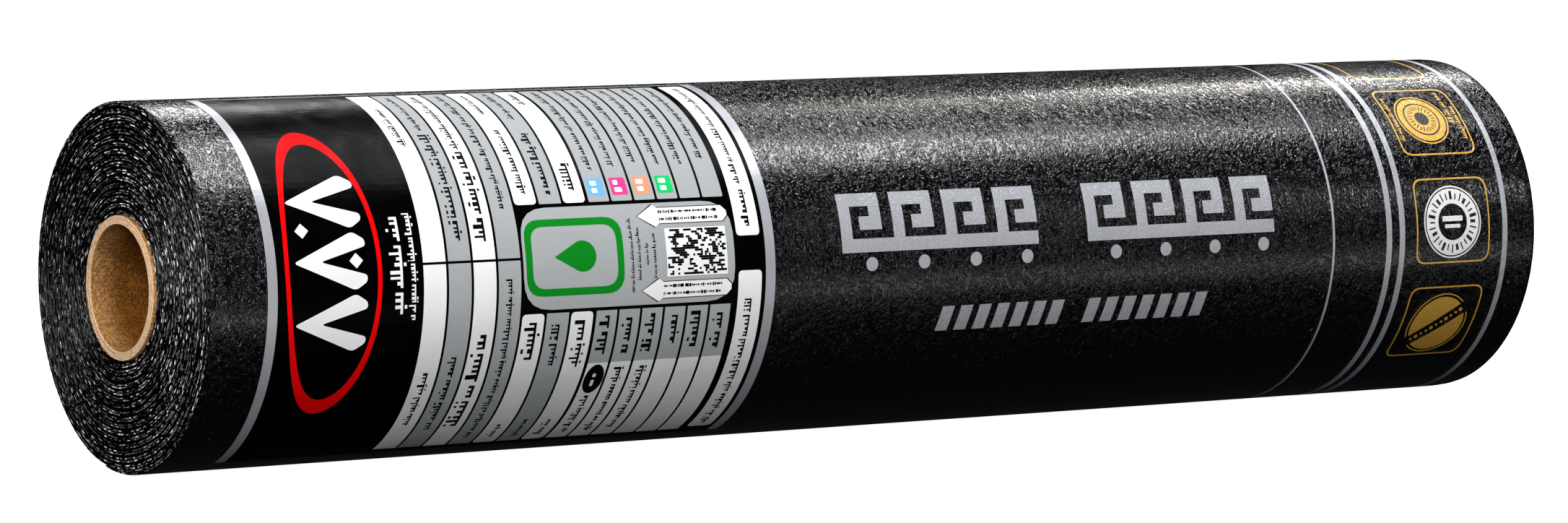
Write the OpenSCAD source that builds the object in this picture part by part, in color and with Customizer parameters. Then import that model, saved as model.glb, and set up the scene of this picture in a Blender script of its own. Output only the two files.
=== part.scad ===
// Roll of bitumen roofing felt, wound on a cardboard core and lying on its side.
// The roll's axis runs along X. The origin is under the middle of the roll, on the floor.

/* [Felt] */
// Width of the felt, which is the length of the roll
sheet_w = 1000; // [500:5:1500]
// Thickness of one turn of felt
felt_t = 4; // [2.5:0.5:6]
// Turns of felt on the core
turns = 17; // [4:1:24]
// Width of the gap that shows between two turns on the ends
turn_gap = 0.8; // [0.4:0.1:1.2]
// How far that gap reaches in from the ends
turn_gap_depth = 5; // [1:0.5:12]
// Bevel on the edges of each turn, as the slitting knives leave it
turn_bevel = 0.4; // [0.1:0.1:0.5]

/* [Core] */
// Bore of the cardboard core
core_bore = 76; // [40:1:160]
// Wall of the cardboard core
core_wall = 5.5; // [3:0.5:12]
// How far the core stands out of the roll at each end
core_proud = 2; // [0:0.5:6]
// Bevel on the rims of the core
core_bevel = 0.8; // [0.2:0.1:1.2]

/* [Label] */
// Thickness of the printed film label
label_t = 0.2; // [0.1:0.05:0.5]
// Size of the label along the roll
label_w = 354; // [60:1:360]
// Bare felt between the label and the roll's near end
label_margin = 38; // [10:1:100]
// How far the label reaches around the roll, in degrees
label_arc = 151; // [20:1:155]
// Where the label's upper edge lies, in degrees from the top of the roll towards the front
label_start = 6; // [0:1:20]

/* [Hidden] */
$fn = 128;

core_r = core_bore / 2 + core_wall;
roll_r = core_r + turns * felt_t;

// Lays a shape turned about Z down on the floor, with its axis along X.
// A turned angle of 180 degrees then points straight up, and 270 towards the front.
module laid_down() {
    translate([0, 0, roll_r])
        rotate([0, 90, 0])
            children();
}

// Section of a ring that reaches from -half to half along its axis, beveled at both ends.
function ring_section(r_in, r_out, half, bevel) =
    let (
        near_end = [
            [r_in, half - bevel],
            [r_in + bevel, half],
            [r_out - bevel, half],
            [r_out, half - bevel],
        ]
    )
    concat(near_end, [for (i = [len(near_end) - 1 : -1 : 0]) [near_end[i].x, -near_end[i].y]]);

// The gap between two turns of felt, with its flared mouth at y = 0 and running on past it.
module gap_section() {
    edge = turn_gap / 2;
    flare = edge + 2 * turn_bevel;
    polygon([
        [-flare, turn_bevel],
        [-edge, -turn_bevel],
        [-edge, -turn_gap_depth],
        [edge, -turn_gap_depth],
        [edge, -turn_bevel],
        [flare, turn_bevel],
    ]);
}

// Draws its children at the +X end of the roll and again at the other end.
module at_both_ends() {
    for (side = [0, 1])
        mirror([0, side])
            translate([0, sheet_w / 2])
                children();
}

module felt_roll() {
    color([0.05, 0.05, 0.055])
        laid_down()
            rotate_extrude()
                difference() {
                    polygon(ring_section(core_r, roll_r, sheet_w / 2, turn_bevel));
                    at_both_ends()
                        for (n = [1 : turns - 1])
                            translate([core_r + n * felt_t, 0])
                                gap_section();
                }
}

module core_tube() {
    color([0.72, 0.5, 0.3])
        laid_down()
            rotate_extrude()
                polygon(ring_section(core_bore / 2, core_r, sheet_w / 2 + core_proud, core_bevel));
}

module printed_label() {
    color([0.02, 0.02, 0.02])
        laid_down()
            rotate([0, 0, 180 + label_start])
                rotate_extrude(angle = label_arc)
                    translate([roll_r, label_margin - sheet_w / 2])
                        square([label_t, label_w]);
}

felt_roll();
core_tube();
printed_label();
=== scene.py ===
"""A roll of bitumen roofing felt on a cardboard core, with its film label and the print on the felt."""

import math
import random

import bmesh
import bpy
from bpy.props import FloatProperty, FloatVectorProperty, IntProperty
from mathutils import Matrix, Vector, noise
from mathutils.bvhtree import BVHTree


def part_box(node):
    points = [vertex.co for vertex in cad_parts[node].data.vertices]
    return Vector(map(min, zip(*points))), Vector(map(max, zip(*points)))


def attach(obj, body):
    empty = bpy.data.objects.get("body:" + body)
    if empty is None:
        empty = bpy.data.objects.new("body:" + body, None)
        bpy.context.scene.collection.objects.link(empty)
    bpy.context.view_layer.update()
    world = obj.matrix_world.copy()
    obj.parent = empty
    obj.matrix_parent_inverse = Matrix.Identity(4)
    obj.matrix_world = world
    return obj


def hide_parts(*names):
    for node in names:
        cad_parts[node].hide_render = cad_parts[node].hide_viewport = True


bl_info = {
    "name": "Roofing felt roll",
    "version": (1, 0, 0),
    "blender": (4, 5, 0),
    "location": "3D View > Sidebar > Felt roll",
    "description": "Builds the looks of a roll of roofing felt around its packed model",
    "category": "Object",
}

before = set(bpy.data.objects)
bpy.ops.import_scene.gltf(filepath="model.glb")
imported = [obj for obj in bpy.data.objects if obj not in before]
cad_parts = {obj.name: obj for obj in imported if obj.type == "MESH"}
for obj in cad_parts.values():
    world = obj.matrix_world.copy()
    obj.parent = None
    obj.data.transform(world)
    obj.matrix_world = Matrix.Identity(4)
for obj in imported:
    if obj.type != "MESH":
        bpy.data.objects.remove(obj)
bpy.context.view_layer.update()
FELT_LO, FELT_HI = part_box("felt_roll")
CORE_LO, CORE_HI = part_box("core_tube")
LABEL_LO, LABEL_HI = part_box("printed_label")

MM = 0.001
ROLL_R = (FELT_HI.z - FELT_LO.z) / 2
AXIS_Z = FELT_LO.z + ROLL_R
HALF = FELT_HI.x
CORE_R = (CORE_HI.z - CORE_LO.z) / 2
CORE_HALF = CORE_HI.x
INNER_REACH = 0.97 * HALF
DEGREE = math.radians(1) * ROLL_R / MM  # millimetres of felt to one degree round the roll

# Each turn climbs onto the one below in one place, under the roll: where that starts, in degrees
# from the roll's top, the share of a turn that it takes, and the share of it past the free end.
CLIMB_START = 165
CLIMB = 42 / 360
BARE_CLIMB = 0.35

# Section of a slit edge: mm back from the roll's end, and share of the felt's thickness.
SLIT_EDGE = (
    (0.55, 0.0),
    (0.14, 0.07),
    (0.0, 0.2),
    (0.1, 0.35),
    (0.42, 0.44),
    (0.42, 0.54),
    (0.1, 0.63),
    (0.03, 0.8),
    (0.2, 0.93),
    (0.6, 1.0),
)

# Section of the core's cut rim: mm back from its end, mm out from its bore, and how rough it is.
RIM = (
    (2.5, 0.0, 0.0),
    (0.9, 0.0, 0.02),
    (0.25, 0.3, 0.1),
    (0.0, 0.9, 0.3),
    (0.15, 2.2, 0.45),
    (0.35, 3.2, 0.45),
    (0.1, 4.4, 0.45),
    (0.3, 5.2, 0.3),
    (0.9, 5.5, 0.02),
    (2.6, 5.5, 0.0),
)

# Arcs where a turn is loose: turn, degrees from the top, half width in degrees, gap in mm.
LOOSE_ARCS = (
    (14, 285, 75, 1.7),
    (13, 270, 55, 1.2),
    (11, 300, 60, 1.0),
    (9, 265, 60, 1.1),
    (5, 95, 70, 1.3),
    (12, 80, 60, 1.2),
    (14, 95, 80, 1.8),
    (16, 70, 110, 1.5),
    (16, 250, 70, 1.3),
    (3, 180, 70, 0.9),
    (7, 190, 70, 0.9),
    (10, 20, 50, 0.9),
    (1, 60, 130, 1.3),
)

# The roll's outer corners: which end, and how far each reaches along the roll and inward, in mm.
CORNERS = (
    (1, 9, 1.7),
    (-1, 3, 0.6),
)


def smooth(share):
    """Eases from 0 to 1."""
    share = min(1.0, max(0.0, share))
    return share * share * (3 - 2 * share)


def on_roll(x, degrees, radius):
    """The point at x along the roll, degrees from its top towards the front, at a radius."""
    angle = math.radians(degrees)
    return Vector((x, -radius * math.sin(angle), AXIS_Z + radius * math.cos(angle)))


def tone(red, green, blue):
    """A colour as a screen shows it, from 0 to 255, as the linear colour Blender works in."""
    return tuple(pow(channel / 255, 2.2) for channel in (red, green, blue)) + (1.0,)


class Value:
    """A shader output that can stand in Python sums."""

    def __init__(self, paint, socket):
        self.paint = paint
        self.socket = socket

    def __add__(self, other):
        return self.paint.maths("ADD", self, other)

    def __sub__(self, other):
        return self.paint.maths("SUBTRACT", self, other)

    def __rsub__(self, other):
        return self.paint.maths("SUBTRACT", other, self)

    def __mul__(self, other):
        return self.paint.maths("MULTIPLY", self, other)

    def __abs__(self):
        return self.paint.maths("ABSOLUTE", self)

    __radd__ = __add__
    __rmul__ = __mul__


class Paint:
    """One material and the nodes that it is made of."""

    def __init__(self, name):
        self.material = bpy.data.materials.new(name)
        self.material.use_nodes = True
        self.tree = self.material.node_tree
        self.shader = self.tree.nodes["Principled BSDF"]
        self.place = self.node("ShaderNodeTexCoord", out="Object")

    def node(self, kind, settings=None, sockets=None, out=0):
        """Adds a node, sets it up and feeds its sockets, and gives one of its outputs."""
        made = self.tree.nodes.new(kind)
        for key, value in (settings or {}).items():
            setattr(made, key, value)
        for key, value in (sockets or {}).items():
            self.feed(made.inputs[key], value)
        return Value(self, made.outputs[out])

    def feed(self, socket, value):
        """Links a value to a socket, or sets the socket to a number or colour."""
        if isinstance(value, Value):
            self.tree.links.new(value.socket, socket)
        else:
            socket.default_value = value

    def maths(self, operation, *terms):
        """Adds a Math node that works on these terms."""
        return self.node("ShaderNodeMath", {"operation": operation}, dict(enumerate(terms)))

    def grain(self, scale, detail=2.0, distortion=0.0, place=None, roughness=0.5):
        """Cloudy noise from 0 to 1, with so many features to a metre."""
        sockets = {
            "Vector": place or self.place,
            "Scale": scale,
            "Detail": detail,
            "Roughness": roughness,
            "Distortion": distortion,
        }
        return self.node("ShaderNodeTexNoise", None, sockets)

    def cells(self, scale, place, feature="F1"):
        """Distance to scattered points, with so many cells to a metre."""
        sockets = {"Vector": place, "Scale": scale}
        return self.node("ShaderNodeTexVoronoi", {"feature": feature}, sockets, "Distance")

    def ease(self, value, low, high, bottom=0.0, top=1.0):
        """Eases from bottom to top as the value goes from low to high."""
        sockets = {0: value, 1: low, 2: high, 3: bottom, 4: top}
        return self.node("ShaderNodeMapRange", {"interpolation_type": "SMOOTHSTEP"}, sockets)

    def blend(self, share, first, second):
        """Mixes two colours."""
        sockets = {0: share, 6: first, 7: second}
        return self.node("ShaderNodeMix", {"data_type": "RGBA"}, sockets, 2)

    def layered(self, name):
        """A value that the mesh carries at its points."""
        return self.node("ShaderNodeAttribute", {"attribute_name": name}, None, "Fac")

    def axes(self):
        """Distance along the roll, towards its back and up from its axis."""
        split = self.node("ShaderNodeSeparateXYZ", None, {0: self.place}).socket.node
        along, back, up = (Value(self, split.outputs[axis]) for axis in "XYZ")
        return along, back, up - AXIS_Z

    def packed(self, along, around):
        """Places for a pattern that is so many times as dense along the roll and around it."""
        sockets = {0: self.place, 1: (along, around, around)}
        return self.node("ShaderNodeVectorMath", {"operation": "MULTIPLY"}, sockets)

    def bump(self, height, depth):
        """Raises the surface by a height from 0 to 1 times the depth in metres."""
        sockets = {"Height": height, "Distance": depth, "Strength": 1.0}
        self.finish(Normal=self.node("ShaderNodeBump", None, sockets))

    def finish(self, **sockets):
        """Sets or links sockets of the surface shader; an underscore stands for a space."""
        for key, value in sockets.items():
            self.feed(self.shader.inputs[key.replace("_", " ")], value)


def crinkle(paint):
    """Height of the torching film's wrinkles: worm-like creases over a soft pebbled ground."""
    dense = paint.packed(1.25, 0.8)
    worms = 1 - abs(paint.grain(190, 2.0, 1.8, dense) - 0.5) * 9.0
    creases = paint.ease(worms, 0.0, 1.0)
    foil = paint.cells(280, paint.packed(1.2, 0.7), "SMOOTH_F1")
    pebbles = paint.grain(520, 1.0, 0.5, dense)
    return creases * 0.5 + foil * 0.35 + pebbles * 0.4


def film_paint(settings):
    """Black torching film over bitumen, wrinkled and glossy."""
    paint = Paint("torching_film")
    patches = paint.grain(16, 3.0, 0.4)
    dust = paint.ease(paint.grain(800, 1.0), 0.66, 0.74)
    tint = paint.blend(patches, settings.film_colour, tone(16, 16, 18))
    paint.finish(
        Base_Color=paint.blend(dust * 0.45, tint, tone(70, 72, 76)),
        Roughness=paint.ease(patches, 0.3, 0.75, 0.09, 0.17),
        IOR=1.52,
    )
    paint.bump(crinkle(paint), 0.36 * MM)
    return paint.material


def slit_paint(settings):
    """Cut edge of the felt: broken bitumen with near-white flecks along two lines in each turn, partly
    the fleece and bright grains, partly painted glints.
    """
    paint = Paint("slit_edge")
    across = paint.layered("across")
    length = paint.layered("along") * 0.45
    depth, _, _ = paint.axes()
    strip = {0: length, 1: across * settings.pitch, 2: depth}
    strip = paint.node("ShaderNodeCombineXYZ", None, strip)
    torn = paint.grain(520, 3.0, 0.8, strip, 0.6)
    lumps = paint.grain(170, 2.0, 0.5, strip)
    # The near-white shreds and chips along two lines in each turn are partly fleece and grains and
    # partly painted glints.
    lips = 1 - paint.ease(abs(abs(across - 0.52) - 0.25), 0.06, 0.17)
    shreds = paint.ease(torn, 0.52, 0.6) * lips
    chips = 1 - paint.ease(paint.cells(400, strip), 0.26, 0.4)
    chips = chips * paint.ease(lumps, 0.46, 0.51) * lips
    bright = paint.maths("MAXIMUM", shreds * 0.25, chips)
    paint.finish(
        Base_Color=paint.blend(bright, settings.cut_colour, settings.fleece_and_glint_colour),
        Roughness=paint.ease(torn, 0.3, 0.7, 0.25, 0.5),
        IOR=1.5,
        Specular_IOR_Level=0.22,
    )
    paint.bump(torn * 0.5 + lumps * 0.5, 0.6 * MM)
    return paint.material


def board_paint(settings):
    """Brown core board: fibres, flecks and the seams of the paper that is wound into it, with painted
    light that makes it paler near both ends of the bore.
    """
    paint = Paint("core_board")
    along, back, up = paint.axes()
    turned = paint.maths("ARCTAN2", back, up) * (1 / (2 * math.pi))
    plies_to_a_metre = 7.0
    strip = paint.maths("FRACT", along * plies_to_a_metre + turned)
    seam = 1 - paint.ease(abs(strip - 0.5), 0.006, 0.02)
    fibres = 1 - abs(paint.grain(260, 2.0, 1.4, paint.packed(0.7, 1.0)) - 0.5) * 7.0
    fibres = paint.ease(fibres, 0.0, 1.0)
    flecks = paint.ease(paint.grain(620, 1.0, 0.3), 0.64, 0.72)
    pale = paint.ease(paint.grain(480, 1.0, 0.2), 0.66, 0.74)
    cloud = paint.grain(45, 2.0)
    tint = paint.blend(cloud * 0.7 + fibres * 0.3, settings.board_dark, settings.board_colour)
    tint = paint.blend(flecks * 0.75, tint, tone(60, 32, 10))
    tint = paint.blend(pale * 0.5, tint, tone(186, 136, 78))
    tint = paint.blend(seam * 0.6, tint, tone(66, 36, 12))
    # Painted light: the board is made paler within 20 mm of each end of the bore, where light from
    # outside falls in.
    painted_light_at_mouth = paint.ease(abs(along), HALF - 20 * MM, HALF)
    tint = paint.blend(painted_light_at_mouth * (0.35 + fibres * 0.45), tint, tone(206, 156, 100))
    rough = paint.ease(fibres, 0.3, 0.7, 0.62, 0.85)
    paint.finish(Base_Color=tint, Roughness=rough, Specular_IOR_Level=0.2)
    paint.bump(fibres * 0.7 - seam * 0.6, 0.6 * MM)
    return paint.material


def cut_board_paint(settings):
    """Cut rim of the core: pale board with the plies showing as rings."""
    paint = Paint("cut_board")
    _, back, up = paint.axes()
    radius = paint.maths("SQRT", back * back + up * up)
    rough = paint.grain(520, 3.0, 0.8)
    ply = paint.maths("SINE", (radius + rough * (0.6 * MM)) * (2 * math.pi / (1.1 * MM)))
    tint = paint.blend(paint.ease(ply, -0.6, 0.8), settings.rim_dark, settings.rim_colour)
    tint = paint.blend(paint.ease(rough, 0.58, 0.7) * 0.6, tint, tone(150, 104, 58))
    paint.finish(Base_Color=tint, Roughness=0.8)
    paint.bump(rough + ply * 0.2, 0.9 * MM)
    return paint.material


def ink_paint(name, colour, roughness=0.42, metal=0.0, mottle=0.05, wrinkled=False):
    """Printing ink, a little uneven, on smooth film or on the wrinkled felt."""
    paint = Paint(name)
    cloud = paint.grain(38, 3.0, 0.3)
    fine = paint.grain(800, 1.0)
    darker = tuple(channel * (1 - 3 * mottle) for channel in colour[:3]) + (1.0,)
    paint.finish(
        Base_Color=paint.blend(cloud * 0.7 + fine * 0.3, darker, colour),
        Roughness=paint.ease(cloud, 0.3, 0.7, roughness - 0.06, roughness + 0.08),
        Metallic=metal,
        Specular_IOR_Level=0.5 if wrinkled else 0.02,
    )
    if wrinkled:
        paint.bump(crinkle(paint), 0.25 * MM)
    else:
        paint.bump(paint.grain(60, 2.0) + fine * 0.03, 0.4 * MM)
    return paint.material


def placed(name, mesh, node=""):
    """Puts a mesh in the scene as a piece that rides on the roll and may stand for a node."""
    piece = bpy.data.objects.new(name, mesh)
    bpy.context.scene.collection.objects.link(piece)
    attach(piece, "root")
    if node:
        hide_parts(node)
    return piece


def turned_piece(name, rings, closed, paints, cut, node):
    """Makes a piece from rings of points, with the second paint on the cut places of a ring."""
    verts = [point for ring in rings for point in ring]
    faces = swept(rings, closed)
    which = [int(i in cut) for i in range(len(rings[0]))]
    which *= len(rings) if closed else len(rings) - 1
    which += [1] * (len(faces) - len(which))
    mesh = bpy.data.meshes.new(name)
    mesh.from_pydata(verts, [], faces)
    for paint in paints:
        mesh.materials.append(paint)
    mesh.polygons.foreach_set("material_index", which)
    mesh.polygons.foreach_set("use_smooth", [True] * len(faces))
    mesh.validate()
    mesh.update()
    return placed(name, mesh, node)


def swept(rings, closed):
    """Faces between rings of points, all of one count, that follow each other."""
    count = len(rings[0])
    faces = []
    for ring in range(len(rings) if closed else len(rings) - 1):
        here = ring * count
        there = (ring + 1) % len(rings) * count
        for i in range(count):
            j = (i + 1) % count
            faces.append((here + i, there + i, there + j, here + j))
    if not closed:
        faces.append(tuple(range(count)))
        faces.append(tuple(range(len(rings) * count - 1, (len(rings) - 1) * count - 1, -1)))
    return faces


def rise(turn):
    """Height of the sheet's underside above the core, in turns of felt, after so many turns."""
    whole = math.floor(turn)
    return whole + smooth((turn - whole - 1 + CLIMB) / CLIMB)


def bearing(turn):
    """Degrees from the top of the roll towards the front, after so many turns."""
    return CLIMB_START + 360 * (turn + CLIMB)


class Winding:
    """The sheet's path round the core: where its two faces lie after so many turns."""

    def __init__(self, settings):
        self.settings = settings
        self.turns = round((ROLL_R - CORE_R) / settings.pitch)
        self.loose = []
        for turn, degrees, width, gap in LOOSE_ARCS:
            centre = turn + ((degrees - bearing(0)) / 360) % 1
            self.loose.append((centre, width / 360, gap * MM))

    def border(self, turn):
        """Radius of the border between this turn and the one below it."""
        angle = math.radians(bearing(turn))
        swing = Vector((2.2 * math.cos(angle), 2.2 * math.sin(angle), 0.8 * turn))
        wander = noise.noise(swing) * self.settings.wander
        wander *= min(1, max(0, turn)) * min(1, max(0, self.turns - CLIMB - turn))
        return CORE_R + self.settings.pitch * rise(turn) + wander

    def gap(self, turn):
        """Width of the gap at that border."""
        if turn > self.turns - CLIMB - 0.001 or turn < 0.02:
            return 0.0
        length = turn * 2 * math.pi * CORE_R * 60
        ragged = abs(noise.noise(Vector((length, 3.7, turn)))) * 0.5
        gap = self.settings.gap * (0.6 + ragged)
        for centre, width, most in self.loose:
            gap += most * smooth(1 - abs(turn - centre) / width)
        return gap

    def faces(self, turn):
        """Radii of the sheet's underside and of its top side."""
        under = self.border(turn) + self.gap(turn) / 2
        over = self.border(turn + 1) - self.gap(turn + 1) / 2
        return under, min(over, ROLL_R)

    def setback(self, turn, side, share, arc):
        """How far the slit edge stands back from the roll's end there."""
        slow = noise.noise(Vector((turn * 1.3, side * 7.0, 2.0)))
        ragged = noise.noise(Vector((arc * 260, share * 2.2, side * 9.0)))
        fine = noise.noise(Vector((arc * 800, share * 5.0, side * 5.0)))
        back = 0.45 + 0.4 * slow + 0.28 * ragged + 0.15 * fine
        return max(0.0, back) * MM


def rounded_corner(x):
    """How far the outer corner of the roll drops away near its two ends."""
    drop = 0.0
    for side, reach, depth in CORNERS:
        share = max(0.0, (side * x - HALF) / (reach * MM) + 1)
        drop += depth * (1 - math.sqrt(max(0.0, 1 - share * share)))
    return drop * MM


def relief(place):
    """How far the film lies below the roll's full radius at a place."""
    broad = noise.noise(place * 11) * 0.5 + 0.5
    folds = noise.noise(Vector((place.x * 34, place.y * 48, place.z * 48 + 7))) * 0.5 + 0.5
    small = noise.noise(place * 85) * 0.5 + 0.5
    return (0.03 + 0.09 * broad + 0.03 * folds + 0.02 * small) * MM


def wound_sheet(name, winding, first, last, step, outer_xs, paints, filmed):
    """A length of the wound sheet as one closed piece, slit edges and all."""
    last_stretch = 0.003
    rings = []
    across = []
    along = []
    length = 0.0
    turn = first
    while turn < last + 1e-9:
        under, over = winding.faces(turn)
        degrees = bearing(turn)
        arc = turn * 2 * math.pi * (under + over) / 2
        taper = smooth((last - turn) / last_stretch) if filmed else 1.0
        ring = []
        for side in (1, -1):
            for back, share in SLIT_EDGE if side > 0 else SLIT_EDGE[::-1]:
                x = side * (HALF - back * MM - winding.setback(turn, side, share, arc))
                top = over - rounded_corner(x) if filmed else over
                lump = noise.noise(Vector((arc * 330, share * 3, side * 3.0))) * 0.16 * MM
                lump *= 4 * share * (1 - share) + 0.25
                radius = under + (top - under) * share * (0.8 + 0.2 * taper) + lump
                ring.append(on_roll(x, degrees, min(radius, ROLL_R)))
                across.append(share)
            if side > 0:
                for x in outer_xs:
                    drop = relief(on_roll(x, degrees, over)) if filmed else 0.0
                    drop += (1 - taper) * 0.6 * MM
                    ring.append(on_roll(x, degrees, over - drop - rounded_corner(x)))
                    across.append(1.0)
            else:
                for x in (-INNER_REACH, INNER_REACH):
                    ring.append(on_roll(x, degrees, under))
                    across.append(0.0)
        rings.append(ring)
        along += [length] * len(ring)
        length += step
        if turn >= last:
            break
        turn = min(last, turn + step / (2 * math.pi * over))
    edge = len(SLIT_EDGE)
    cut = {start + i for start in (0, edge + len(outer_xs)) for i in range(edge - 1)}
    piece = turned_piece(name, rings, False, paints, cut, "felt_roll")
    for key, values in (("across", across), ("along", along)):
        attribute = piece.data.attributes.new(key, "FLOAT", "POINT")
        attribute.data.foreach_set("value", values)


def rectangle(x0, x1, s0, s1, corner=0.0):
    """Outline of a rectangle in millimetres, with rounded corners if asked."""
    return rounded([(x0, s0), (x1, s0), (x1, s1), (x0, s1)], corner)


def rounded(points, corner, steps=5):
    """An outline with each of its corners rounded off."""
    if not corner:
        return points
    outline = []
    for i, at in enumerate(points):
        here = Vector(at)
        before = Vector(points[i - 1]) - here
        after = Vector(points[(i + 1) % len(points)]) - here
        reach = min(corner, before.length / 2, after.length / 2)
        start = here + before.normalized() * reach
        end = here + after.normalized() * reach
        for k in range(steps + 1):
            t = k / steps
            outline.append(tuple(start * (1 - t) ** 2 + here * 2 * t * (1 - t) + end * t * t))
    return outline


def oval(x, s, half_x, half_s=None, steps=48):
    """Outline of a circle or oval in millimetres."""
    half_s = half_s or half_x
    turns = [2 * math.pi * k / steps for k in range(steps)]
    return [(x + half_x * math.cos(t), s + half_s * math.sin(t)) for t in turns]


class Print:
    """Flat shapes on the unrolled sheet, in millimetres along it and round from its top."""

    def __init__(self):
        self.mesh = bmesh.new()

    def fill(self, outline):
        """A shape within an outline."""
        corners = [self.mesh.verts.new((x, s, 0)) for x, s in outline]
        face = self.mesh.faces.new(corners)
        face.normal_update()
        bmesh.ops.triangulate(self.mesh, faces=[face])

    def rim(self, outer, inner):
        """A band between two outlines that have the same number of points."""
        rows = [[self.mesh.verts.new((x, s, 0)) for x, s in line] for line in (outer, inner)]
        for i in range(len(outer)):
            j = (i + 1) % len(outer)
            self.mesh.faces.new((rows[0][i], rows[0][j], rows[1][j], rows[1][i]))

    def frame(self, x0, x1, s0, s1, corner, line):
        """A rounded frame, its line so wide."""
        outer = rectangle(x0, x1, s0, s1, corner)
        inner = rectangle(x0 + line, x1 - line, s0 + line, s1 - line, corner - line * 0.6)
        self.rim(outer, inner)

    def writing(self, draw, x, s0, s1, tall):
        """A line of joined strokes and dots that stands for writing, round the roll."""
        foot = x + 0.32 * tall
        line = 0.19 * tall
        s = s0
        while s < s1 - 0.4 * tall:
            word = min(s + tall * draw.uniform(0.9, 3.2), s1)
            self.fill(rectangle(foot - line, foot, s, word))
            while s < word - 0.12 * tall:
                wide = tall * draw.choice((0.17, 0.2, 0.24, 0.34))
                high = tall * draw.choice((0.25, 0.34, 0.4, 0.4, 0.75))
                wide = min(wide, word - s)
                self.fill(rectangle(foot - line - high, foot - line, s, s + wide))
                if draw.random() < 0.3:
                    dot = foot + draw.choice((0.12, -0.95)) * tall
                    self.fill(rectangle(dot, dot + line, s, s + wide))
                s += wide + tall * draw.choice((0.16, 0.2, 0.28))
            s = word + 0.3 * tall

    def cut(self, axis, step):
        """Cuts the shapes along evenly spaced lines, so that they bend."""
        places = [vert.co[axis] for vert in self.mesh.verts]
        normal = Vector((0, 0, 0))
        normal[axis] = 1
        line = math.floor(min(places) / step) + 1
        while line * step < max(places):
            geometry = self.mesh.verts[:] + self.mesh.edges[:] + self.mesh.faces[:]
            bmesh.ops.bisect_plane(
                self.mesh, geom=geometry, dist=1e-5, plane_co=normal * line * step, plane_no=normal
            )
            line += 1

    def lay(self, name, paint, top, deep=0.04, skin=None, slot="", node=""):
        """Bends the shapes round the roll as one thin layer, its top so many mm above the felt."""
        mesh = self.mesh
        self.cut(1, 2 * DEGREE)
        if skin:
            self.cut(0, 4.2)
        lower = bmesh.ops.extrude_face_region(mesh, geom=mesh.faces[:], use_keep_orig=True)
        for item in lower["geom"]:
            if isinstance(item, bmesh.types.BMVert):
                item.co.z = -deep
        for vert in mesh.verts:
            x = vert.co.x * MM
            degrees = vert.co.y / DEGREE
            radius = ROLL_R
            if skin:
                start = on_roll(x, degrees, ROLL_R + 5 * MM)
                inward = on_roll(x, degrees, 0) - start
                hit = skin.ray_cast(start, inward.normalized())[0]
                radius = math.hypot(hit.y, hit.z - AXIS_Z)
            vert.co = on_roll(x, degrees, radius + (top + vert.co.z) * MM)
        bmesh.ops.recalc_face_normals(mesh, faces=mesh.faces[:])
        data = bpy.data.meshes.new(name)
        mesh.to_mesh(data)
        mesh.free()
        data.materials.append(paint)
        placed(name, data, node)


def length_setting(name, description, default, low, high):
    """A length that a user may change, given in millimetres."""
    return FloatProperty(
        name=name,
        description=description,
        default=default * MM,
        min=low * MM,
        max=high * MM,
        unit="LENGTH",
    )


def colour_setting(name, description, default):
    """A colour that a user may change."""
    return FloatVectorProperty(
        name=name, description=description, default=default, size=4, subtype="COLOR"
    )


class FeltSettings(bpy.types.PropertyGroup):
    pitch: length_setting("Turn pitch", "Thickness of one turn with its share of the gap", 4, 1, 10)
    gap: length_setting("Gap", "Usual gap between two turns", 1.15, 0, 2)
    wander: length_setting("Wander", "How far the turns stray from true circles", 0.7, 0, 1.5)
    edge_step: length_setting(
        "Edge step", "Distance between points along the slit edges", 1.95, 1.9, 10
    )
    film_colour: colour_setting("Film colour", "Colour of the film on the felt", tone(9, 9, 10))
    cut_colour: colour_setting(
        "Cut colour", "Colour of the bitumen on the slit edges", tone(5, 5, 6)
    )
    # Near-white colour of the flecks on the slit edges: partly fleece and grains, partly painted
    # glints.
    fleece_and_glint_colour: colour_setting(
        "Grain colour", "Colour of the bright grains on the slit edges", tone(250, 250, 255)
    )


class CoreSettings(bpy.types.PropertyGroup):
    wall: length_setting("Wall", "Wall of the cardboard core", 5.5, 1, 15)
    board_colour: colour_setting(
        "Board colour", "Lighter colour of the board inside the core", tone(134, 84, 24)
    )
    board_dark: colour_setting(
        "Board shade", "Darker colour of the board inside the core", tone(70, 40, 7)
    )
    rim_colour: colour_setting("Rim colour", "Lighter colour of the cut rim", tone(252, 216, 178))
    rim_dark: colour_setting("Rim shade", "Darker colour of the cut rim", tone(228, 184, 142))


class PrintSettings(bpy.types.PropertyGroup):
    seed: IntProperty(
        name="Seed",
        description="Which of the random lines of blocks is printed",
        default=7,
        min=0,
        max=999,
    )
    white: colour_setting("White", "Colour of the white ink", tone(238, 238, 240))
    grey: colour_setting("Grey", "Colour of the grey ink", tone(164, 168, 170))
    silver: colour_setting("Silver", "Colour of the silver ink", tone(176, 178, 184))
    red: colour_setting("Red", "Colour of the oval ring", tone(238, 14, 18))
    green: colour_setting("Green", "Colour of the green mark", tone(22, 132, 38))
    gold: colour_setting("Gold", "Colour of the gold ink", tone(224, 172, 74))


class StageSettings(bpy.types.PropertyGroup):
    lens: FloatProperty(
        name="Lens",
        description="Focal length of the camera in millimetres, on a 36 mm sensor",
        default=142.405,
        min=20,
        max=400,
    )
    floor_colour: colour_setting("Floor colour", "Colour of the floor", (0.5, 0.5, 0.5, 1))


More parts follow.
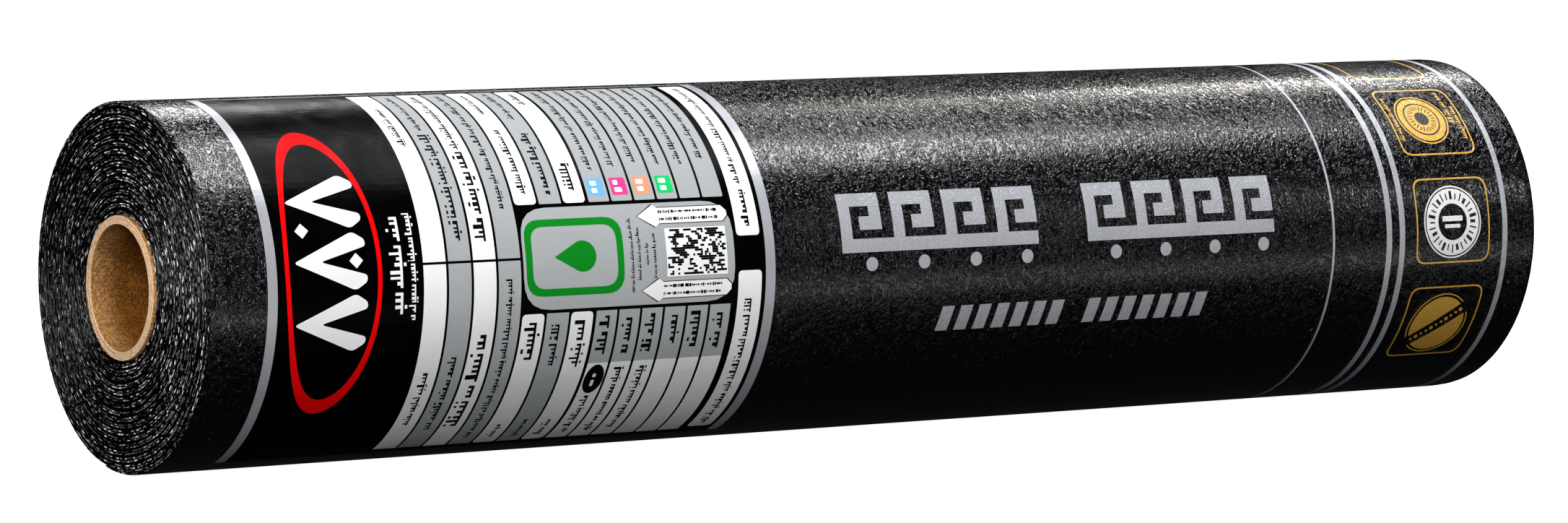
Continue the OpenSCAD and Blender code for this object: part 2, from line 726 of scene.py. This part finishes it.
class ROLL_OT_felt(bpy.types.Operator):
    """Builds the wound sheet of felt: the turns inside and the top turn with its wrinkled film"""

    bl_idname = "roll.felt"
    bl_label = "Felt"

    def execute(self, context):
        settings = context.scene.roll_felt
        winding = Winding(settings)
        paints = [film_paint(settings), slit_paint(settings)]
        end = winding.turns - BARE_CLIMB * CLIMB
        hidden_overlap = 8 / 360
        start = end - 1 - hidden_overlap
        step = settings.edge_step
        ends = (INNER_REACH, -INNER_REACH)
        wound_sheet("inner_turns", winding, 0, start, step, ends, paints, False)
        reach = HALF - 4 * MM
        columns = 238
        xs = [reach - 2 * reach * i / (columns - 1) for i in range(columns)]
        wound_sheet("top_turn", winding, start, end, 2.4 * MM, xs, paints, True)
        return {"FINISHED"}


class ROLL_OT_core(bpy.types.Operator):
    """Builds the cardboard core with its roughly cut rims"""

    bl_idname = "roll.core"
    bl_label = "Core"

    def execute(self, context):
        settings = context.scene.roll_core
        bore = CORE_R - settings.wall
        share = settings.wall / (RIM[-1][1] * MM)
        stations = 240
        inside = 48
        rings = []
        for station in range(stations):
            degrees = 360 * station / stations
            angle = math.radians(degrees)
            ring = []
            for side in (1, -1):
                for back, out, rough in RIM if side > 0 else RIM[::-1]:
                    spot = Vector((9 * math.cos(angle), 9 * math.sin(angle), side + out * 0.8))
                    tear = noise.noise(spot) * 0.5 + 0.5 + 0.35 * noise.noise(spot * 4)
                    x = side * (CORE_HALF - (back + rough * max(0.0, tear) * 1.6) * MM)
                    frayed = noise.noise(spot * 2.3) * rough * 0.5 * MM
                    radius = bore + out * share * MM + frayed
                    ring.append(on_roll(x, degrees, min(CORE_R - 0.02 * MM, max(bore, radius))))
                if side < 0:
                    reach = CORE_HALF - 8 * MM
                    for i in range(inside):
                        x = -reach + 2 * reach * i / (inside - 1)
                        ring.append(on_roll(x, degrees, bore))
            rings.append(ring)
        edge = len(RIM)
        cut = set(range(1, edge - 2)) | set(range(edge + 1, 2 * edge - 2))
        paints = [board_paint(settings), cut_board_paint(settings)]
        turned_piece("core_board", rings, True, paints, cut, "core_tube")
        return {"FINISHED"}


# The label's upper and lower edge.
LABEL_TOP = 6 * DEGREE
LABEL_FOOT = 157 * DEGREE

# The label's table: the left and right edge of each column, in mm along the roll.
WIDE_COLUMNS = [(-357 + 17.2 * i, -341.5 + 17.2 * i) for i in range(7)]
NARROW_COLUMNS = [(-236 + 16.3 * i, -221.4 + 16.3 * i) for i in range(6)]
LAST_COLUMN = (-135, -118)
TABLE_TOP = 9 * DEGREE
TABLE_FOOT = 154 * DEGREE
BLOCK_FOOT = 65 * DEGREE
LOWER_TOP = 99.3 * DEGREE
LABEL_MIDDLE = 82 * DEGREE

# Lines of strokes in place of writing: column, first and last degree, and height in mm.
WIDE_LINES = (
    (0, 22, 43, 4.5),
    (0, 117, 139, 5.5),
    (1, 12, 36, 3.6),
    (1, 37, 76, 6.5),
    (1, 112, 142, 6.0),
    (2, 12, 44, 5.0),
    (2, 45, 76, 8.0),
    (2, 105, 141, 9.5),
    (3, 12, 66, 4.5),
    (3, 88, 149, 4.5),
    (4, 12, 27, 4.5),
    (4, 36, 62, 5.0),
    (4, 102, 117, 9.0),
    (4, 142, 150, 5.0),
    (5, 11, 31, 4.2),
    (5, 38, 62, 6.0),
    (5, 103, 117, 6.0),
    (5, 140, 150, 5.0),
    (6, 12, 22, 4.5),
    (6, 51, 62, 6.5),
    (6, 102, 118, 7.5),
    (6, 141, 150, 5.5),
)


def print_borders(colours):
    """Silver edges down both sides of the label and along its top."""
    left = LABEL_LO.x / MM
    right = LABEL_HI.x / MM
    silver = Print()
    silver.fill(rectangle(left, left + 6.5, LABEL_TOP, LABEL_FOOT))
    silver.fill(rectangle(right - 7, right, LABEL_TOP, LABEL_FOOT))
    silver.fill(rectangle(left + 6.5, right - 7, LABEL_TOP + 0.2, LABEL_TOP + 1.4))
    silver.lay("label_borders", ink_paint("border_silver", colours.silver, 0.32, 0.25), 0.13)


def draw_table(white, grey):
    """The white and grey columns of the table and the panel in its middle."""
    for i, (x0, x1) in enumerate(WIDE_COLUMNS):
        ink = grey if i % 2 else white
        if i < 4:
            ink.fill(rectangle(x0, x1, TABLE_TOP, LABEL_MIDDLE - 0.4 * DEGREE))
            ink.fill(rectangle(x0, x1, LABEL_MIDDLE + 0.4 * DEGREE, TABLE_FOOT))
        else:
            corner = 0.0 if i % 2 else 3.0
            ink.fill(rectangle(x0, x1, TABLE_TOP, BLOCK_FOOT, corner))
            ink.fill(rectangle(x0, x1, LOWER_TOP, TABLE_FOOT, corner))
    lower_white = 117 * DEGREE
    for x0, x1 in NARROW_COLUMNS:
        grey.fill(rectangle(x0, x1, TABLE_TOP, BLOCK_FOOT, 1.0))
        grey.fill(rectangle(x0, x1, LOWER_TOP, lower_white))
        white.fill(rectangle(x0, x1, lower_white, TABLE_FOOT, 1.0))
    white.fill(rectangle(*LAST_COLUMN, TABLE_TOP, 78 * DEGREE, 3.0))
    white.fill(rectangle(*LAST_COLUMN, 89 * DEGREE, 152.5 * DEGREE, 3.0))
    grey.fill(rectangle(-288, -137.5, 66.2 * DEGREE, 98.2 * DEGREE, 20))


def draw_oval_panel(red, white, draw):
    """A plain red ring round a stack of roof gables, with two lines beneath."""
    x = -417.5
    red.rim(oval(x, LABEL_MIDDLE, 32.5, 94, 96), oval(x, LABEL_MIDDLE, 29.6, 83, 96))
    for start in (52, 71, 90):
        s = start * DEGREE
        gable = [
            (-444, s + 17.5),
            (-403, s),
            (-395, s + 5),
            (-395, s + 9),
            (-426, s + 17.5),
            (-395, s + 26),
            (-395, s + 30),
            (-403, s + 35),
        ]
        white.fill(rounded(gable, 3))
    half = 4.6
    for x, degrees in ((-402, 80), (-436, 70.2)):
        s = degrees * DEGREE
        white.fill([(x - half, s), (x, s - half), (x + half, s), (x, s + half)])
    white.writing(draw, -374, 67 * DEGREE, 97 * DEGREE, 9)
    white.writing(draw, -364, 66 * DEGREE, 99 * DEGREE, 5)


def print_chips(marks, draw):
    """Four coloured chips in the table, with white marks on them."""
    chips = (
        ("blue_chip", tone(108, 178, 232)),
        ("pink_chip", tone(232, 66, 138)),
        ("orange_chip", tone(236, 150, 112)),
        ("green_chip", tone(28, 200, 108)),
    )
    for (name, colour), (x0, x1) in zip(chips, NARROW_COLUMNS):
        chip = Print()
        chip.fill(rectangle(x0 + 1.7, x1 - 1.7, 57 * DEGREE, 63 * DEGREE, 1.0))
        chip.lay(name, ink_paint(name, colour), 0.16)
        for s in (57.9 * DEGREE, 60.4 * DEGREE):
            wide = draw.uniform(3, 6)
            marks.fill(rectangle(x0 + 4, x0 + 4 + wide, s, s + 3.2, 0.8))


def bar_line(ink, draw, x0, x1, s, tall):
    """A line of small blocks that runs along the roll."""
    x = x0
    while x < x1:
        wide = tall * draw.choice((0.3, 0.5, 0.8, 1.3))
        high = tall * draw.choice((0.5, 0.6, 1.0))
        ink.fill(rectangle(x, min(x1, x + wide), s - high / 2, s + high / 2))
        x += wide + tall * draw.choice((0.15, 0.2, 0.5))


def draw_tags(pale, black, draw):
    """Two white tags with pointed ends, and the white ground between them."""
    line = 0.5
    for start in (66.8, 90.2):
        s0 = start * DEGREE
        s1 = s0 + 14
        middle = (s0 + s1) / 2
        tag = [
            (-205, middle),
            (-193, s0 - 0.5),
            (-190, s0 + 1.6),
            (-143, s0 + 1.6),
            (-139.5, s0 + 5),
            (-139.5, s1 - 5),
            (-143, s1 - 1.6),
            (-190, s1 - 1.6),
            (-193, s1 + 0.5),
        ]
        inside = []
        for x, s in tag:
            inward = 0.7 if x < -170 else -line
            inside.append((x + inward, s + line * ((s < middle) - (s > middle))))
        pale.fill(inside)
        black.rim(tag, inside)
        for s in (middle - 2.3, middle + 2.3):
            bar_line(black, draw, -189, -147, s, 2.0)
    pale.fill(rectangle(-186.5, -142.8, 74.6 * DEGREE, 89.7 * DEGREE))


def write_table(black, draw):
    """Lines of strokes in the columns of the table and beside the green mark."""
    for column, first, last, tall in WIDE_LINES:
        x = sum(WIDE_COLUMNS[column]) / 2
        black.writing(draw, x, first * DEGREE, last * DEGREE, tall)
    for i, column in enumerate(NARROW_COLUMNS):
        x = sum(column) / 2
        black.writing(draw, x, 11 * DEGREE, (54 - i % 3) * DEGREE, 4.2)
        black.writing(draw, x, (101 + i % 2) * DEGREE, 114 * DEGREE, 7.5)
        if i < 3:
            start = 130 if i == 0 else 119
            black.writing(draw, x, start * DEGREE, 150 * DEGREE, 5.6)
    x = sum(LAST_COLUMN) / 2
    black.writing(draw, x, 12 * DEGREE, 61 * DEGREE, 4.2)
    black.writing(draw, x, 63 * DEGREE, 75 * DEGREE, 5.6)
    black.writing(draw, x, 98 * DEGREE, 150 * DEGREE, 5.4)
    for x, first, last in ((-211, 71, 94), (-206, 74, 91), (-200.5, 79, 86), (-195, 76, 90)):
        black.writing(draw, x, first * DEGREE, last * DEGREE, 2.6)


def draw_random_squares(black, draw):
    """A block of small squares, at random, with no marks in its corners."""
    rows = 20
    columns = 30
    wide = 42.3 / columns
    deep = 14.4 * DEGREE / rows
    for row in range(rows):
        column = 0
        while column < columns:
            run = draw.choice((1, 1, 2, 2, 3))
            if draw.random() < 0.5:
                x0 = -185.8 + column * wide
                s0 = 74.95 * DEGREE + row * deep
                reach = min(run, columns - column) * wide
                black.fill(rectangle(x0, x0 + reach, s0, s0 + deep * 0.97))
            column += run


def draw_green_mark(green):
    """A rounded frame with a drop in it."""
    green.frame(-286, -217, 70 * DEGREE, 94 * DEGREE, 12, 4.6)
    round_end = 9.5
    drop = [(-266, LABEL_MIDDLE)]
    for k in range(-9, 10):
        turn = math.radians(k * 13)
        x = -246 + round_end * math.cos(turn)
        drop.append((x, LABEL_MIDDLE + round_end * math.sin(turn)))
    green.fill(drop)


class ROLL_OT_label(bpy.types.Operator):
    """Builds the film label and prints its panels, table, oval and marks"""

    bl_idname = "roll.label"
    bl_label = "Label"

    def execute(self, context):
        colours = context.scene.roll_print
        draw = random.Random(colours.seed)
        film = Print()
        film.fill(rectangle(LABEL_LO.x / MM, LABEL_HI.x / MM, LABEL_TOP, LABEL_FOOT))
        film_ink = ink_paint("label_film", tone(9, 9, 10), 0.26, mottle=0.06)
        film.lay("label_film", film_ink, 0.1, 0.1, slot="label_film", node="printed_label")
        print_borders(colours)

        white, grey, red, green, pale, black, marks = (Print() for _ in range(7))
        draw_table(white, grey)
        draw_oval_panel(red, white, draw)
        print_chips(marks, draw)
        draw_tags(pale, black, draw)
        write_table(black, draw)
        x = sum(NARROW_COLUMNS[0]) / 2
        black.fill(oval(x + 0.3, 123.3 * DEGREE, 6.8, 11))
        marks.fill(rectangle(x - 1.1, x + 1.1, 121 * DEGREE, 126 * DEGREE, 1.0))
        draw_random_squares(black, draw)
        draw_green_mark(green)

        white_ink = ink_paint("white_ink", colours.white, 0.45, mottle=0.02)
        grey_ink = ink_paint("grey_ink", colours.grey, 0.45, mottle=0.03)
        white.lay("white_panels", white_ink, 0.13)
        grey.lay("grey_panels", grey_ink, 0.13)
        red.lay("red_oval", ink_paint("red_ink", colours.red, 0.4), 0.13)
        green.lay("green_mark", ink_paint("green_ink", colours.green), 0.16)
        pale.lay("white_tags", white_ink, 0.16)
        black.lay("black_print", ink_paint("black_ink", tone(18, 18, 19), 0.45), 0.185)
        marks.lay("white_marks", white_ink, 0.195, 0.02)
        return {"FINISHED"}


# The lines that run all the way round the felt near its far end: their two edges, in mm.
LINES_ROUND = ((327.5, 329.3), (372.5, 377), (383.5, 388), (471, 475.2))


def draw_lines_round(silver):
    """Silver lines all the way round the roll, in eight parts."""
    part = 45 * DEGREE
    for x0, x1 in LINES_ROUND:
        for i in range(8):
            silver.fill(rectangle(x0, x1, i * part, (i + 1) * part))


def draw_key_border(silver):
    """Two lengths of a running key border with dots, and a row of slanted dashes beneath."""
    head = 66 * DEGREE
    base = head + 37.5
    line = 8.5
    pitch = 39.5
    for start in (-58, 130):
        for i in range(4):
            x = start + i * pitch
            right = x + (pitch if i < 3 else 31)
            key = [
                (x, base),
                (x, head),
                (x + 31, head),
                (x + 31, head + 23.5),
                (x + 14.5, head + 23.5),
                (x + 14.5, head + 15),
                (x + 22.5, head + 15),
                (x + 22.5, head + line),
                (x + line, head + line),
                (x + line, base - line),
                (right, base - line),
                (right, base),
            ]
            silver.fill(key)
            silver.fill(oval(x + 22, base + 7.5, 4.4, steps=24))
    foot = 104.3 * DEGREE
    for i in range(15):
        x = 17 + 14.2 * i
        if i != 7:
            silver.fill([(x + 3, foot), (x + 12, foot), (x + 9, foot + 16.5), (x, foot + 16.5)])


def spoke(x, s, angle, near, far, half):
    """Outline of a spoke between two distances from a centre, with its half width."""
    c = math.cos(angle)
    d = math.sin(angle)
    corners = ((near, -half), (near, half), (far, half), (far, -half))
    return [(x + reach * c + side * d, s + reach * d - side * c) for reach, side in corners]


def draw_rayed_disc(gold, dark, draw):
    """A gold disc with rings and rays, between three lines of strokes."""
    x = 426
    s = 46.5 * DEGREE
    gold.rim(oval(x, s, 20.5), oval(x, s, 19.5))
    gold.fill(oval(x, s, 18.3))
    dark.rim(oval(x, s, 14), oval(x, s, 12.8))
    dark.fill(oval(x, s, 5.5))
    rays = 24
    for ray in range(rays):
        near = 7.2 if ray % 2 else 8.2
        dark.fill(spoke(x, s, 2 * math.pi * ray / rays, near, 10.8, 0.4))
    gold.writing(draw, 402.5, s - 20, s + 18, 3.4)
    gold.writing(draw, 450.5, s - 24, s + 6, 4.4)
    gold.writing(draw, 455.5, s - 10, s + 20, 3.6)


def draw_ticked_ring(white, dark):
    """A white ring with dark ticks round it, and two bars in its middle."""
    x = 428.5
    s = 85 * DEGREE
    white.rim(oval(x, s, 24.2), oval(x, s, 23.2))
    white.rim(oval(x, s, 22.2), oval(x, s, 12.2))
    ticks = 28
    for tick in range(ticks):
        half = 0.5 if tick % 3 else 1.1
        far = 20.6 if tick % 2 else 19.2
        dark.fill(spoke(x, s, 2 * math.pi * tick / ticks, 15, far, half))
    white.fill(rectangle(x - 8.5, x + 8.5, s - 4, s - 0.5, 0.8))
    white.fill(rectangle(x - 6.5, x + 6.5, s + 1.5, s + 4, 0.8))


def draw_banded_disc(gold):
    """A gold disc parted by a slanting band of dots."""
    x = 429
    s = 122.5 * DEGREE
    steps = 24
    for middle in (55, 235):
        turns = [math.radians(middle - 78 + 156 * k / steps) for k in range(steps + 1)]
        half, outer, inner = (
            [(x + reach * math.cos(turn), s + reach * math.sin(turn)) for turn in turns]
            for reach in (21.6, 24.2, 23.3)
        )
        gold.fill(half)
        gold.fill(outer + inner[::-1])
    slant = math.radians(145)
    for k in range(11):
        out = -20 + 4 * k
        dot = 1.1 if k % 3 else 1.6
        gold.fill(oval(x + out * math.cos(slant), s + out * math.sin(slant), dot, steps=6))


class ROLL_OT_felt_print(bpy.types.Operator):
    """Prints the silver key pattern, the lines and the framed badges on the felt"""

    bl_idname = "roll.felt_print"
    bl_label = "Felt print"

    def execute(self, context):
        colours = context.scene.roll_print
        draw = random.Random(colours.seed + 1)
        graph = bpy.context.evaluated_depsgraph_get()
        skin = BVHTree.FromObject(bpy.data.objects["top_turn"], graph)
        silver, gold, white, dark = (Print() for _ in range(4))
        draw_lines_round(silver)
        draw_key_border(silver)
        half_frame = 28.5
        for degrees in (9.5, 46.6, 84.4, 122):
            s = degrees * DEGREE
            gold.frame(398, 460, s - half_frame, s + half_frame, 8, 1.1)
        draw_rayed_disc(gold, dark, draw)
        draw_ticked_ring(white, dark)
        draw_banded_disc(gold)

        silver_ink = ink_paint("felt_silver", colours.silver, 0.34, 0.2, 0.04, True)
        gold_ink = ink_paint("felt_gold", colours.gold, 0.32, 0.15, 0.05, True)
        white_ink = ink_paint("felt_white", colours.white, 0.42, 0.0, 0.03, True)
        dark_ink = ink_paint("felt_black", tone(22, 20, 18), 0.42, 0.0, 0.05, True)
        silver.lay("silver_print", silver_ink, 0.06, 0.08, skin)
        gold.lay("gold_print", gold_ink, 0.06, 0.08, skin)
        white.lay("white_seal", white_ink, 0.06, 0.08, skin)
        dark.lay("dark_print", dark_ink, 0.1, 0.06, skin)
        return {"FINISHED"}


# Studio lights: name, place, tilt about X and turn about Z in degrees, width, depth, watts, colour.
LIGHTS = (
    ("overhead_box", (1.4, -0.75, 2.6), 0, -22, 1.4, 0.95, 54, (0.95, 0.97, 1.0)),
    ("overhead_left", (0.83, -0.3, 2.6), 0, 0, 0.34, 1.7, 40, (0.97, 0.98, 1.0)),
    ("overhead_soft", (1.65, 1.1, 2.6), 0, 0, 0.8, 0.5, 5, (1.0, 0.95, 0.88)),
    ("warm_strip", (2.5, 1.45, 2.25), -90, 0, 0.9, 0.6, 46, (1.0, 0.97, 0.94)),
    ("back_box", (0.45, 1.45, 1.6), -90, 0, 0.5, 0.85, 16, (1.0, 0.99, 0.98)),
    ("right_front", (4.1, -3.6, 1.8), 90, 0, 0.9, 1.1, 22, (1.0, 1.0, 1.0)),
    ("left_key", (-3.0, -1.5, 2.2), 50, -59, 0.5, 0.5, 95, (1.0, 0.97, 0.93)),
    ("front_fill", (-2.2, -2.8, 0.75), 79, -34, 1.6, 0.9, 64, (1.0, 1.0, 1.0)),
    ("low_card", (0.2, -0.41, 0.01), 180, 0, 1.6, 0.22, 1.5, (1.0, 1.0, 1.0)),
)

CAMERA_PLACE = Vector((-2.19405, -3.28387, 0.41315))
CAMERA_AIM = Vector((-0.0282, 0, 0.10718))


def lay_floor(scene, colour):
    """A plain white floor that lights and mirrors nothing."""
    paint = Paint("studio_floor")
    shade = tuple(channel * 0.985 for channel in colour[:3]) + (1,)
    paint.finish(
        Base_Color=paint.blend(paint.grain(1.5), shade, colour),
        Roughness=0.9,
        Emission_Color=(1, 1, 1, 1),
        Emission_Strength=0.98,
    )
    mesh = bpy.data.meshes.new("studio_floor")
    reach = 60
    corners = [(-reach, -reach, 0), (reach, -reach, 0), (reach, reach, 0), (-reach, reach, 0)]
    mesh.from_pydata(corners, [], [(0, 1, 2, 3)])
    mesh.materials.append(paint.material)
    floor = bpy.data.objects.new("studio_floor", mesh)
    scene.collection.objects.link(floor)
    floor.visible_glossy = False
    floor.visible_diffuse = False


def hang_lights(scene):
    """Soft boxes that only the roll sees."""
    for name, place, tilt, turn, width, depth, watts, colour in LIGHTS:
        data = bpy.data.lights.new(name, "AREA")
        data.shape = "RECTANGLE"
        data.size = width
        data.size_y = depth
        data.energy = watts
        data.color = colour
        light = bpy.data.objects.new(name, data)
        light.location = place
        light.visible_camera = False
        light.rotation_euler = (math.radians(tilt), 0, math.radians(turn))
        scene.collection.objects.link(light)


def light_surroundings(scene):
    """White surroundings to the camera, and next to no light from them on the roll."""
    world = bpy.data.worlds.new("studio")
    world.use_nodes = True
    tree = world.node_tree
    faint = tree.nodes["Background"]
    faint.inputs["Color"].default_value = (0.5, 0.56, 0.64, 1)
    faint.inputs["Strength"].default_value = 0.02
    plain = tree.nodes.new("ShaderNodeBackground")
    plain.inputs["Color"].default_value = (1, 1, 1, 1)
    path = tree.nodes.new("ShaderNodeLightPath")
    mix = tree.nodes.new("ShaderNodeMixShader")
    tree.links.new(path.outputs["Is Camera Ray"], mix.inputs[0])
    tree.links.new(faint.outputs[0], mix.inputs[1])
    tree.links.new(plain.outputs[0], mix.inputs[2])
    tree.links.new(mix.outputs[0], tree.nodes["World Output"].inputs["Surface"])
    scene.world = world


def set_camera(scene, lens):
    """The camera, in front of the labelled end and a little above the roll."""
    data = bpy.data.cameras.new("camera")
    data.lens = lens
    data.sensor_width = 36
    data.clip_start = 0.1
    data.clip_end = 200
    camera = bpy.data.objects.new("camera", data)
    camera.location = CAMERA_PLACE
    camera.rotation_euler = (CAMERA_AIM - CAMERA_PLACE).to_track_quat("-Z", "Y").to_euler()
    scene.collection.objects.link(camera)
    scene.camera = camera


class ROLL_OT_stage(bpy.types.Operator):
    """Sets up the floor, the studio lights and the camera"""

    bl_idname = "roll.stage"
    bl_label = "Stage"

    def execute(self, context):
        settings = context.scene.roll_stage
        scene = context.scene
        scene.view_settings.view_transform = "Standard"
        lay_floor(scene, settings.floor_colour)
        hang_lights(scene)
        light_surroundings(scene)
        set_camera(scene, settings.lens)
        return {"FINISHED"}


class ROLL_PT_roll(bpy.types.Panel):
    """Shows the roll's settings and the buttons that build it and set up its stage"""

    bl_label = "Felt roll"
    bl_idname = "ROLL_PT_roll"
    bl_space_type = "VIEW_3D"
    bl_region_type = "UI"
    bl_category = "Felt roll"

    def draw(self, context):
        for name in SETTINGS:
            group = getattr(context.scene, name)
            for key in group.bl_rna.properties.keys():
                if key not in ("rna_type", "name"):
                    self.layout.prop(group, key)
        for operator in OPERATORS:
            self.layout.operator(operator.bl_idname)


SETTINGS = {
    "roll_felt": FeltSettings,
    "roll_core": CoreSettings,
    "roll_print": PrintSettings,
    "roll_stage": StageSettings,
}
OPERATORS = (ROLL_OT_felt, ROLL_OT_core, ROLL_OT_label, ROLL_OT_felt_print, ROLL_OT_stage)
CLASSES = (*SETTINGS.values(), *OPERATORS, ROLL_PT_roll)


def register():
    for item in CLASSES:
        bpy.utils.register_class(item)
    for name, group in SETTINGS.items():
        setattr(bpy.types.Scene, name, bpy.props.PointerProperty(type=group))


def unregister():
    for name in SETTINGS:
        delattr(bpy.types.Scene, name)
    for item in reversed(CLASSES):
        bpy.utils.unregister_class(item)


def main():
    register()
    bpy.ops.roll.felt()
    bpy.ops.roll.core()
    bpy.ops.roll.label()
    bpy.ops.roll.felt_print()
    bpy.ops.roll.stage()


if __name__ == "__main__":
    main()
